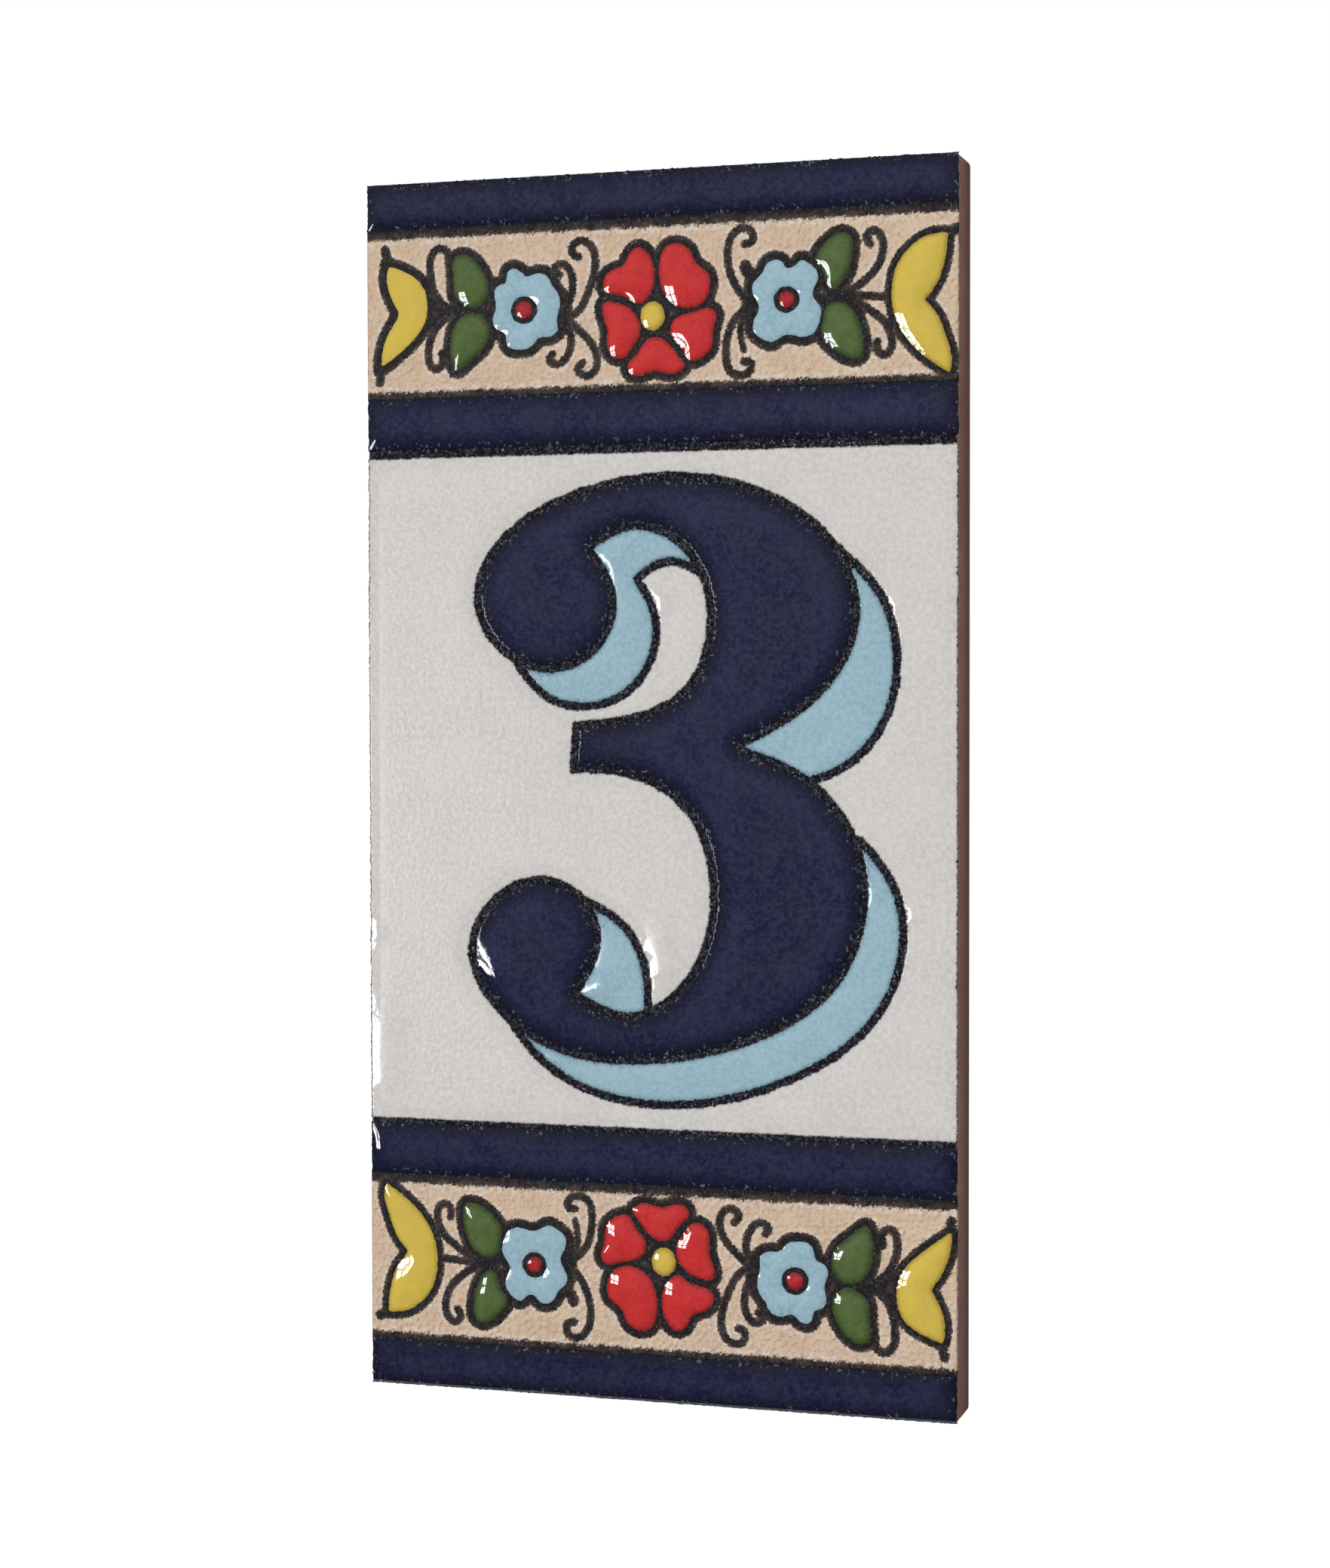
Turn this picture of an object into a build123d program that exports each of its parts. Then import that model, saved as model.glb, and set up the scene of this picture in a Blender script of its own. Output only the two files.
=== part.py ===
import os
from math import sqrt

from build123d import *

# Clay body, in mm. The back lies on the wall at y = 0, the face looks along -Y and +Z is up.
tile_width = 75.0
tile_height = 150.0
clay_thickness = 6.4
corner_round = 0.8
rim_bevel = 0.4

# Keying grooves pressed into the back, an even count so that a land runs up the middle.
groove_count = 6
groove_pitch = 11.0
groove_width = 4.0
groove_depth = 0.6
groove_margin = 9.0

# Fields of the face from each end to the middle, and the bare line left between two glazes.
outer_band = 6.7
border = 19.0
inner_band = 8.1
line = 1.0
rim_gap = 0.5

# Room left in the middle panel round the numeral and its shadow.
left_margin = 13.5
right_margin = 6.2
top_margin = 2.6
bottom_margin = 2.6

# How far each glaze stands off the clay, and how its rim is eased.
panel_rise = 0.25
shadow_rise = 0.4
numeral_rise = 0.6
numeral_bevel = 0.35
band_rise = 0.6
band_round = 0.5
cushion_rise = 0.5
cushion_draft = 30.0
daisy_rise = 0.35

# The lower border is the upper one turned end for end and set down a little out of place.
slip_right = 0.9
slip_up = -0.3

# The numeral and the four parts of its shadow, corner to corner, on a sheet from its lower left.
figure_sheet = (55.3, 77.2)
numeral_art = [
    [(13.8, 46.7), (21, 48), (27.5, 50.6), (30.85, 60.4), (27, 68.8), (21.3, 70.4), (16.4, 67.8)],
    [(16.4, 67.8), (19.25, 61.9), (17, 55.8), (10.7, 53), (4, 55.9), (0.9, 62.3), (4.2, 69.4),
     (12.2, 74.7), (25.5, 77.2), (39, 74.4), (47.1, 67.9), (49.7, 59.4), (45, 50.6), (35, 43.8)],
    [(35, 43.8), (43, 40.8), (49.2, 33.6), (50.8, 25.6), (46.5, 15.1), (36, 8), (22, 5.2), (7, 8.4),
     (0, 18.9), (3.5, 25.8), (9.2, 28.1), (15, 25.6), (17.3, 20.8), (14.1, 13.8)],
    [(14.1, 13.8), (21, 11.4), (28, 15.2), (31.15, 26.4), (28, 36.4), (20, 40.4), (13.4, 40.7)],
    [(13.4, 40.7), (13.8, 46.7)],
]
shadow_art = [
    [[(5.6, 54.7), (10.6, 48.8), (14, 48.1), (20.9, 49.9), (24.6, 56.2), (24.2, 61.9), (22.6, 64.2)],
     [(22.6, 64.2), (25.6, 65.8), (30, 64.2)],
     [(30, 64.2), (33, 70)], [(33, 70), (22, 74)], [(22, 74), (10, 68)], [(10, 68), (5.6, 54.7)]],
    [[(47.2, 67.8), (52.4, 61.9), (54.6, 54.4), (52.8, 46.5), (46.5, 40.3), (44, 39.5)],
     [(44, 39.5), (41, 36)], [(41, 36), (32, 44)], [(32, 44), (39, 63)], [(39, 63), (47.2, 67.8)]],
    [[(50, 33.2), (54.3, 27.5), (55.3, 20), (50.9, 11.2), (41.5, 4), (30.3, 0.4), (19, 0.6), (9.6, 4.7),
      (4.7, 10)],
     [(4.7, 10), (9, 18)], [(9, 18), (24, 8.5)], [(24, 8.5), (39, 18)], [(39, 18), (46, 32)],
     [(46, 32), (50, 33.2)]],
    [[(15.2, 25.6), (20.2, 22.5), (23.2, 17.8), (23.6, 9.6)],
     [(23.6, 9.6), (11, 9.6)], [(11, 9.6), (8, 21.6)], [(8, 21.6), (15.2, 25.6)]],
]

# The border's flowers and leaves, on a sheet from its middle.
border_sheet = (75.0, 19.0)
tulips = [
    [[(-34.5, 6.4), (-30.6, 4.3), (-29.0, 0.4)], [(-29.0, 0.4), (-30.6, -3.3), (-35.3, -6.6)],
     [(-35.3, -6.6), (-35.1, -2.9), (-32.7, 0.3)], [(-32.7, 0.3), (-34.4, 2.6), (-34.5, 6.4)]],
    [[(36.2, 6.8), (32.1, 5.3), (29.7, 0.7)], [(29.7, 0.7), (31.4, -5.1), (36.0, -8.8)],
     [(36.0, -8.8), (35.8, -4.6), (33.0, -0.9)], [(33.0, -0.9), (35.4, 2.2), (36.2, 6.8)]],
]
leaves = [
    [[(-25.3, 7.0), (-21.5, 3.9), (-22.9, 0.5)], [(-22.9, 0.5), (-26.1, 3.2), (-25.3, 7.0)]],
    [[(-24.0, -0.2), (-21.4, -2.8), (-25.6, -7.2)], [(-25.6, -7.2), (-26.3, -3.6), (-24.0, -0.2)]],
    [[(23.9, 7.5), (24.6, 4.0), (22.3, 0.7)], [(22.3, 0.7), (20.6, 4.5), (23.9, 7.5)]],
    [[(22.0, -0.6), (25.9, -3.8), (25.4, -7.5)], [(25.4, -7.5), (21.5, -5.2), (22.0, -0.6)]],
]
petals = [
    [[(-1.65, 5.65, 1.5), (-1.7, 1.5, 1.4), (-3.4, 3.9, 1.0)],
     [(-5.15, 2.5, 1.2), (-1.7, 1.5, 1.4), (-3.4, 3.9, 1.0)]],
    [[(2.6, 5.9, 1.5), (2.2, 2.6, 1.3), (3.0, 0.5, 1.1), (4.0, 4.1, 1.5)],
     [(5.5, 2.2, 1.75), (3.0, 0.5, 1.1), (4.0, 4.1, 1.5)]],
    [[(6.8, -1.5, 1.0), (3.1, -2.5, 1.15), (5.9, -3.7, 1.3)],
     [(5.8, -5.8, 1.45), (3.1, -2.5, 1.15), (5.9, -3.7, 1.3)]],
    [[(2.8, -7.5, 1.05), (0.1, -4.65, 1.05), (0.2, -7.3, 0.85)],
     [(-2.6, -7.5, 1.05), (0.1, -4.65, 1.05), (0.2, -7.3, 0.85)]],
    [[(-5.5, -0.5, 1.05), (-3.6, -0.9, 1.4), (-2.7, -3.6, 1.0), (-4.5, -2.9, 1.1)],
     [(-4.6, -5.4, 1.1), (-2.7, -3.6, 1.0), (-4.5, -2.9, 1.1)]],
]
heart = (0.05, -1.2, 1.6)
daisies = [
    [(-16.4, 0.1, 3.6), (-17.7, 3.2, 1.8), (-14.9, 2.3, 1.9), (-13.8, 0.5, 1.9), (-14.6, -1.9, 1.9),
     (-17.2, -2.9, 1.8), (-18.9, 0.0, 1.6)],
    [(16.6, -0.4, 3.5), (15.0, 3.1, 1.8), (18.2, 2.9, 1.7), (19.0, -1.5, 1.8), (17.8, -2.8, 1.9),
     (14.8, -3.2, 1.9), (13.9, 1.7, 1.7)],
]
daisy_eyes = [(-16.6, 0.1, 1.05), (16.7, -0.1, 0.95)]

# Where the fields come to lie.
panel_height = tile_height - 2 * (outer_band + border + inner_band)
border_middle = panel_height / 2 + inner_band + border / 2
front = Plane.XZ.offset(clay_thickness)
figure_room = (tile_width - left_margin - right_margin, panel_height - top_margin - bottom_margin)
figure_scale = min(figure_room[0] / figure_sheet[0], figure_room[1] / figure_sheet[1])
figure_middle = ((left_margin - right_margin) / 2, -clay_thickness, (bottom_margin - top_margin) / 2)
figure_plane = Plane(figure_middle, x_dir=(1, 0, 0), z_dir=(0, -1, 0))
upper_plane = Plane((0, -clay_thickness, border_middle), x_dir=(1, 0, 0), z_dir=(0, -1, 0))
lower_centre = (slip_right, -clay_thickness, slip_up - border_middle)
lower_plane = Plane(lower_centre, x_dir=(-1, 0, 0), z_dir=(0, -1, 0))
border_scale = min(tile_width / border_sheet[0], border / border_sheet[1])


def on_figure(points):
    return [
        ((x - figure_sheet[0] / 2) * figure_scale, (y - figure_sheet[1] / 2) * figure_scale) for x, y in points
    ]


def on_border(point):
    return (point[0] * border_scale, point[1] * border_scale)


def front_edges(relief):
    return relief.faces().group_by(Axis.Y)[0].edges()


def mirrored(way, span):
    along = span.normalized()
    return along * (2 * along.dot(way)) - way


# Draws tangent arcs through the points, two to each span, or a straight line if there are only two points.
def smooth(points):
    knots = [Vector(*point) for point in points]
    if len(knots) == 2:
        Line(*knots)
        return
    spans = [after - before for before, after in zip(knots, knots[1:])]
    ways = [
        (before.normalized() * after.length + after.normalized() * before.length).normalized()
        for before, after in zip(spans, spans[1:])
    ]
    ways = [mirrored(ways[0], spans[0]), *ways, mirrored(ways[-1], spans[-1])]
    for start, span, way_in, way_out in zip(knots, spans, ways, ways[1:]):
        along = span.dot(way_in + way_out)
        turn = 2 - 2 * way_in.dot(way_out)
        reach = (sqrt(along**2 + turn * span.length**2) - along) / turn
        middle = start + (span + (way_in - way_out) * reach) / 2
        TangentArc(start, middle, tangent=way_in)
        TangentArc(middle, start + span, tangent=span - (way_in + way_out) * reach)


# The flat outlines of the numeral and its shadow, out to the far side of their bare lines.
with BuildSketch() as numeral_outline:
    with BuildLine():
        for stretch in numeral_art:
            smooth(on_figure(stretch))
    make_face()

with BuildSketch() as shadow_outline:
    for outline in shadow_art:
        with BuildLine():
            for stretch in outline:
                smooth(on_figure(stretch))
        make_face()

# Glazes of the middle panel.
with BuildPart() as numeral:
    with BuildSketch(figure_plane):
        add(numeral_outline.sketch)
        offset(amount=-line)
    extrude(amount=numeral_rise)
    chamfer(front_edges(numeral), numeral_bevel)

with BuildPart() as shadow:
    with BuildSketch(figure_plane):
        add(shadow_outline.sketch)
        offset(amount=-line)
        add(numeral_outline.sketch, mode=Mode.SUBTRACT)
    extrude(amount=shadow_rise)

with BuildPart() as panel:
    with BuildSketch(front):
        Rectangle(tile_width - 2 * rim_gap, panel_height)
    extrude(amount=panel_rise)
    with BuildSketch(figure_plane):
        add(numeral_outline.sketch)
        add(shadow_outline.sketch)
    extrude(amount=panel_rise, mode=Mode.SUBTRACT)

# Glaze bands, an outer and an inner one at each end.
outer_middle = tile_height / 2 - (outer_band - line + rim_gap) / 2
inner_middle = panel_height / 2 + inner_band / 2
with BuildPart() as bands:
    with BuildSketch(front):
        with Locations((0, outer_middle), (0, -outer_middle)):
            Rectangle(tile_width - 2 * rim_gap, outer_band - line - rim_gap)
        with Locations((0, inner_middle), (0, -inner_middle)):
            Rectangle(tile_width - 2 * rim_gap, inner_band - 2 * line)
    extrude(amount=band_rise)
    fillet(front_edges(bands), band_round)

# Glazes of the two borders.
with BuildSketch() as petal_outlines:
    for petal in petals:
        for half in petal:
            with BuildSketch(mode=Mode.PRIVATE) as half_petal:
                for circle in half:
                    with Locations(on_border(circle)):
                        Circle(circle[2] * border_scale)
                make_hull()
            add(half_petal.sketch)

with BuildPart() as cushions:
    with BuildSketch(upper_plane, lower_plane):
        add(petal_outlines.sketch)
        for outline in tulips + leaves:
            with BuildLine():
                for stretch in outline:
                    ThreePointArc(*[on_border(point) for point in stretch])
            make_face()
    extrude(amount=cushion_rise, taper=cushion_draft)
    with BuildSketch(upper_plane, lower_plane):
        for bead in daisy_eyes + [heart]:
            with Locations(on_border(bead)):
                Circle(bead[2] * border_scale)
    extrude(amount=cushion_rise)

with BuildPart() as daisy_pads:
    with BuildSketch(upper_plane, lower_plane):
        for daisy in daisies:
            for lobe in daisy:
                with Locations(on_border(lobe)):
                    Circle(lobe[2] * border_scale)
    extrude(amount=daisy_rise)

# The fired tile in one piece.
with BuildPart() as number_tile:
    with BuildSketch(Plane.XZ):
        RectangleRounded(tile_width, tile_height, corner_round)
    extrude(amount=clay_thickness)
    chamfer(front_edges(number_tile), rim_bevel)
    with BuildSketch(Plane.XZ):
        with GridLocations(groove_pitch, 0, groove_count, 1):
            Rectangle(groove_width, tile_height - 2 * groove_margin)
    extrude(amount=groove_depth, mode=Mode.SUBTRACT)
    for glaze in (panel, shadow, numeral, bands, cushions, daisy_pads):
        add(glaze.part)

number_tile.part.label = "number_tile"
os.makedirs("parts", exist_ok=True)
export_step(number_tile.part, "parts/number_tile.step")
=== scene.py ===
import bpy
import numpy as np
from mathutils import Matrix, Vector


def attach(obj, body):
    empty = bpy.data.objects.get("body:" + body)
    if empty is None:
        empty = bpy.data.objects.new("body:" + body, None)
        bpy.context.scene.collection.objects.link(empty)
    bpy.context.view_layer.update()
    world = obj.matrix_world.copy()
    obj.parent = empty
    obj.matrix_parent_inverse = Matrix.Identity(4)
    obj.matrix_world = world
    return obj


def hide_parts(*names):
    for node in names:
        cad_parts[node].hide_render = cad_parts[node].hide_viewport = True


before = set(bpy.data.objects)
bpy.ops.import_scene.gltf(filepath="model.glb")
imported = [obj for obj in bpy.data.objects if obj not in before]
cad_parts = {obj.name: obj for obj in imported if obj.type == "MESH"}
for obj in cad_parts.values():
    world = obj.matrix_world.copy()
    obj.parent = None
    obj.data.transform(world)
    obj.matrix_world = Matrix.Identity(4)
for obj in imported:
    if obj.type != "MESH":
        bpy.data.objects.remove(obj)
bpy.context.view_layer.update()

mm = 0.001
coarse = 1.0  # wider mesh spacing while trying things

# sizes shared by all the pieces, in mm; x to the right and z up as the numeral reads
tile = {"width": 75.0, "height": 150.0, "clay": 6.4, "line": 0.85, "glazeEdge": 37.4,
        "panelLow": -41.5, "panelTop": 41.0, "upperInk": (49.15, 68.05), "lowerInk": (49.5, 68.4),
        "borderMiddle": 58.8, "slipRight": 0.9, "slipUp": -0.3, "raggedLength": 0.6}


# curves and distances

# cubic spline through points by chord length: natural at the ends, or closed on itself; samples lie about
# a step apart
def curveThrough(points, closed=False, step=0.25):
    p = np.array(points, float)
    if closed:
        p = np.vstack([p, p[:1]])
    gap = np.hypot(*np.diff(p, axis=0).T)
    t = np.concatenate([[0.0], np.cumsum(gap)])
    n = len(p)
    a = np.zeros((n, n))
    b = np.zeros((n, 2))
    i = np.arange(1, n - 1)
    slope = np.diff(p, axis=0) / gap[:, None]
    a[i, i - 1], a[i, i], a[i, i + 1] = gap[i - 1], 2 * (gap[i - 1] + gap[i]), gap[i]
    b[i] = 6 * (slope[i] - slope[i - 1])
    if closed:
        a[0, 0], a[0, -1] = 1, -1
        a[-1, 0], a[-1, 1], a[-1, -2], a[-1, -1] = 2 * gap[0], gap[0], gap[-1], 2 * gap[-1]
        b[-1] = 6 * (slope[0] - slope[-1])
    else:
        a[0, 0] = a[-1, -1] = 1
    bend = np.linalg.solve(a, b)
    s = np.linspace(0, t[-1], max(4, int(np.ceil(t[-1] / step)) + 1))
    k = np.clip(np.searchsorted(t, s, side="right") - 1, 0, n - 2)
    h, u, v = gap[k, None], (t[k + 1] - s)[:, None], (s - t[k])[:, None]
    q = (bend[k] * u**3 + bend[k + 1] * v**3) / (6 * h)
    q += (p[k] / h - bend[k] * h / 6) * u + (p[k + 1] / h - bend[k + 1] * h / 6) * v
    return q[:-1] if closed else q


# closed outline made of several stretches that meet at corners
def outlineOf(stretches):
    return np.vstack([curveThrough(s)[:-1] for s in stretches])


# closed loops as rows of a segment's start and end
def segmentsOf(loops):
    return np.vstack([np.hstack([l, np.roll(l, -1, 0)]) for l in loops])


# distance of each point to the nearest of the segments, and whether a ray to the right crosses them an odd
# number of times; points are taken block by block, with only the segments that can be nearest to that block
def distanceTo(points, segments, block=5.0):
    a, d = segments[:, :2], segments[:, 2:] - segments[:, :2]
    l2 = np.maximum((d**2).sum(1), 1e-12)
    low, high = np.minimum(segments[:, 1], segments[:, 3]), np.maximum(segments[:, 1], segments[:, 3])
    key = np.floor(points / block).astype(np.int64) @ [100003, 1]  # one number for each block
    order = np.argsort(key, kind="stable")
    far, inside = np.empty(len(points)), np.empty(len(points), bool)
    for index in np.split(order, np.flatnonzero(np.diff(key[order])) + 1):
        x, z = points[index, :1], points[index, 1:]
        w = np.array([x.min() + x.max(), z.min() + z.max()]) / 2 - a
        t = np.clip((w * d).sum(1) / l2, 0, 1)[:, None]
        toMiddle = np.hypot(*(w - t * d).T)
        k = toMiddle <= toMiddle.min() + np.hypot(np.ptp(x), np.ptp(z))
        wx, wz = x - a[k, 0], z - a[k, 1]
        t = np.clip((wx * d[k, 0] + wz * d[k, 1]) / l2[k], 0, 1)
        far[index] = np.sqrt(((wx - t * d[k, 0]) ** 2 + (wz - t * d[k, 1]) ** 2).min(1))
        k = (low <= z.max()) & (high > z.min())
        crossed = (low[k] <= z) & (high[k] > z)
        along = (z - a[k, 1]) / np.where(d[k, 1] == 0, 1e-12, d[k, 1])
        inside[index] = (crossed & (x < a[k, 0] + along * d[k, 0])).sum(1) % 2 == 1
    return far, inside


# signed distance to closed loops, positive inside
def signedTo(points, segments):
    far, inside = distanceTo(points, segments)
    return np.where(inside, far, -far)


# smooth stand-in for the distance to an edge: the integral of 1/r^3 along the edge, as (2 / sum) ** 0.5,
# which is the true distance beside a straight edge and has no crease in the middle of a field
def reachFrom(points, segments, chunk=2500):
    a, b = segments[:, :2], segments[:, 2:]
    d = b - a
    l = np.maximum(np.hypot(d[:, 0], d[:, 1]), 1e-9)
    e = d / l[:, None]
    out = np.empty(len(points))
    for k in range(0, len(points), chunk):
        w = points[k:k + chunk, None, :] - a
        s1 = -(w * e).sum(2)
        s2 = s1 + l
        a2 = np.maximum((w[..., 0] * e[:, 1] - w[..., 1] * e[:, 0]) ** 2, 1e-5)
        total = ((s2 / np.sqrt(a2 + s2**2) - s1 / np.sqrt(a2 + s1**2)) / a2).sum(1)
        out[k:k + chunk] = np.sqrt(2 / np.maximum(total, 1e-6))
    return out


# irregular waves: the sum of many cosines of one wavelength range in random directions, about -1 to 1
def waves(points, length, seed, count=28, spread=(0.7, 1.6), peak=1.6):
    r = np.random.default_rng(seed)
    turn, phase = r.uniform(0, 2 * np.pi, (2, count))
    k = 2 * np.pi / (length * r.uniform(*spread, count))
    total = np.zeros(len(points))
    for j in range(count):
        along = points[:, 0] * np.cos(turn[j]) + points[:, 1] * np.sin(turn[j])
        total += np.cos(k[j] * along + phase[j])
    return total / np.sqrt(count / 2) / peak


# sum of round hills, each share * exp(-(distance / radius) ** 2)
def hills(points, places):
    total = np.zeros(len(points))
    for x, z, radius, share in places:
        total += share * np.exp(-((points[:, 0] - x) ** 2 + (points[:, 1] - z) ** 2) / radius**2)
    return total


# glaze pads

# share of the spacing within which corners are drawn onto the edge, the probe, number and least slope of
# those moves, the widths beyond which reach is left as it is, and the levels of the rim and the sheet below
padGrid = {"snap": 0.3, "probe": 0.03, "moves": 3, "leastSlope": 0.25, "farWidths": 2.4, "rim": 0.02,
           "sink": 0.12}


# A field of glaze: region(points) is positive inside. A square grid is laid over the box, and corners that
# fall outside or just inside are drawn onto the edge along the region's slope. Each corner then rises as a
# parabola of its reach, with the given slope at the rim and flat beyond the given width. A swell (x, z,
# radius, share) adds to the height, and a flat sheet sunk into the clay closes the pad from below.
def padMesh(region, box, spacing, slope, width, swells=()):
    h = spacing * coarse
    x = np.arange(box[0] - h, box[1] + 1.5 * h, h)
    z = np.arange(box[2] - h, box[3] + 1.5 * h, h)
    gx, gz = np.meshgrid(x, z, indexing="ij")
    grid = np.column_stack([gx.ravel(), gz.ravel()])
    value = region(grid)
    inside = (value > padGrid["snap"] * h).reshape(gx.shape)
    cell = inside[:-1, :-1] | inside[1:, :-1] | inside[1:, 1:] | inside[:-1, 1:]
    number = np.arange(gx.size).reshape(gx.shape)
    i, j = np.nonzero(cell)
    quads = np.column_stack([number[i, j], number[i + 1, j], number[i + 1, j + 1], number[i, j + 1]])
    used = np.unique(quads)
    renumber = np.full(gx.size, -1)
    renumber[used] = np.arange(len(used))
    quads = renumber[quads]
    flat, reach = grid[used], value[used]
    onRim = ~inside.ravel()[used]
    p = flat[onRim]
    probe = padGrid["probe"]
    for move in range(padGrid["moves"]):
        v = region(p)
        way = np.column_stack([region(p + [probe, 0]) - v, region(p + [0, probe]) - v]) / probe
        steep = np.maximum((way**2).sum(1), padGrid["leastSlope"])
        p = p - np.clip(v, -h, h)[:, None] * way / steep[:, None]
    flat[onRim], reach[onRim] = p, 0.0
    edges = np.vstack([quads[:, [0, 1]], quads[:, [1, 2]], quads[:, [2, 3]], quads[:, [3, 0]]])
    key = np.sort(edges, 1) @ [len(flat), 1]
    first, times = np.unique(key, return_index=True, return_counts=True)[1:]
    border = edges[first[times == 1]]
    near = ~onRim & (reach < padGrid["farWidths"] * width)
    reach[near] = reachFrom(flat[near], np.hstack([flat[border[:, 0]], flat[border[:, 1]]]))
    height = slope * width / 2 * (1 + hills(flat, swells))
    rise = padGrid["rim"] + height * (1 - (1 - np.minimum(reach / width, 1)) ** 2)
    under = np.where(onRim, np.arange(len(flat)), len(flat) + np.cumsum(~onRim) - 1)
    level = np.concatenate([rise, np.full((~onRim).sum(), -padGrid["sink"])])
    place = np.vstack([flat, flat[~onRim]])
    corners = np.column_stack([place[:, 0], -(tile["clay"] + level), place[:, 1]])
    faces = np.vstack([quads, under[quads][:, ::-1]])
    return corners, faces, np.concatenate([reach, reach[~onRim]])


# several meshes as one object; each holds corners, faces and then the values of its attributes, in mm
def pieceFrom(name, parts, material, attributes=("reach",)):
    start = np.cumsum([0] + [len(p[0]) for p in parts[:-1]])
    corners = np.vstack([p[0] for p in parts])
    faces = np.vstack([p[1] + s for p, s in zip(parts, start)])
    mesh = bpy.data.meshes.new(name)
    mesh.from_pydata((corners * mm).tolist(), [], faces.tolist())
    for k, label in enumerate(attributes):
        values = np.concatenate([p[2 + k] for p in parts]).astype(np.float32)
        mesh.attributes.new(label, "FLOAT", "POINT").data.foreach_set("value", values)
    mesh.shade_smooth()
    mesh.validate()
    piece = bpy.data.objects.new(name, mesh)
    bpy.context.scene.collection.objects.link(piece)
    mesh.materials.append(material)
    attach(piece, "root")
    print(name, "faces", len(mesh.polygons))
    return piece


# shader sums

class Wire:
    def __init__(self, tree, socket=None):
        self.tree, self.socket = tree, socket

    # any node: its type, its settings, then the values or links of its sockets
    def make(self, kind, settings, sockets, out=0):
        node = self.tree.nodes.new(kind)
        for name, value in settings.items():
            setattr(node, name, value)
        for name, value in sockets.items():
            if isinstance(value, Wire):
                self.tree.links.new(value.socket, node.inputs[name])
            else:
                node.inputs[name].default_value = value
        return Wire(self.tree, node.outputs[out])

    def sum(self, operation, *values):
        return self.make("ShaderNodeMath", {"operation": operation}, dict(enumerate(values)))

    def __add__(self, other):
        return self.sum("ADD", self, other)

    def __sub__(self, other):
        return self.sum("SUBTRACT", self, other)

    def __rsub__(self, other):
        return self.sum("SUBTRACT", other, self)

    def __mul__(self, other):
        return self.sum("MULTIPLY", self, other)

    def __rmul__(self, other):
        return self.sum("MULTIPLY", other, self)

    # 0 below low, 1 above high, smooth between
    def step(self, low, high):
        return self.make("ShaderNodeMapRange", {"interpolation_type": "SMOOTHSTEP"},
                         {"Value": self, "From Min": low, "From Max": high})

    # size in mm
    def noise(self, place, size, detail=2.0, roughness=0.5):
        return self.make("ShaderNodeTexNoise", {}, {"Vector": place, "Scale": 1 / (size * mm),
                                                    "Detail": detail, "Roughness": roughness})

    def mix(self, factor, first, second):
        return self.make("ShaderNodeMix", {"data_type": "RGBA"}, {0: factor, 6: first, 7: second}, out=2)

    def larger(self, other):
        return self.sum("MAXIMUM", self, other)

    # depth in mm
    def bump(self, height, depth):
        return self.make("ShaderNodeBump", {}, {"Strength": 1.0, "Distance": depth * mm, "Height": height})


def rgb(r, g, b):
    return (r, g, b, 1.0)


def grey(level):
    return rgb(level, level, level)


# material with an empty tree, the wire that builds it, and places on the piece
def newMaterial(name):
    material = bpy.data.materials.new(name)
    material.use_nodes = True
    tree = material.node_tree
    tree.nodes.clear()
    base = Wire(tree)
    place = base.make("ShaderNodeTexCoord", {}, {}, out="Object")
    return material, base, place


# one surface with these sockets ends the tree
def closeMaterial(base, sockets):
    shader = base.make("ShaderNodeBsdfPrincipled", {}, sockets)
    end = base.tree.nodes.new("ShaderNodeOutputMaterial")
    base.tree.links.new(shader.socket, end.inputs["Surface"])


# its glint colour is painted highlight: pale light caught on the line's grains
dryLine = {"soot": rgb(0.006, 0.006, 0.010), "grey": rgb(0.042, 0.043, 0.055),
           "paintedGlint": rgb(0.19, 0.195, 0.22), "grainSize": 0.42, "paintedGlintSize": 0.34, "raggedSize": 0.26}


# dry dark line: soot-dark with grey grains and small pale painted glints; its colour, and the grain for a
# bump
def inkGrain(base, place):
    grain = base.noise(place, dryLine["grainSize"], 2.0, 0.6)
    paintedGlint = base.noise(place, dryLine["paintedGlintSize"], 1.0, 0.5).step(0.63, 0.74)
    colour = base.mix(grain.step(0.45, 0.66), dryLine["soot"], dryLine["grey"])
    return base.mix(paintedGlint, colour, dryLine["paintedGlint"]), grain


# what all glazes share at the rim: bleed of the ink and its roughness, darkening towards the edge, fade of
# the specks and painted glints, and ease of the skin
glazeRim = {"bleed": (-0.04, 0.2), "bleedRagged": 0.9, "bleedRough": 0.4, "darkeningRagged": 0.5, "darkeningFrom": 0.05,
            "speckAndGlintFade": (0.2, 1.1), "speckAndGlintLeft": 0.05, "skinEase": 1.2, "index": 1.55}
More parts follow.
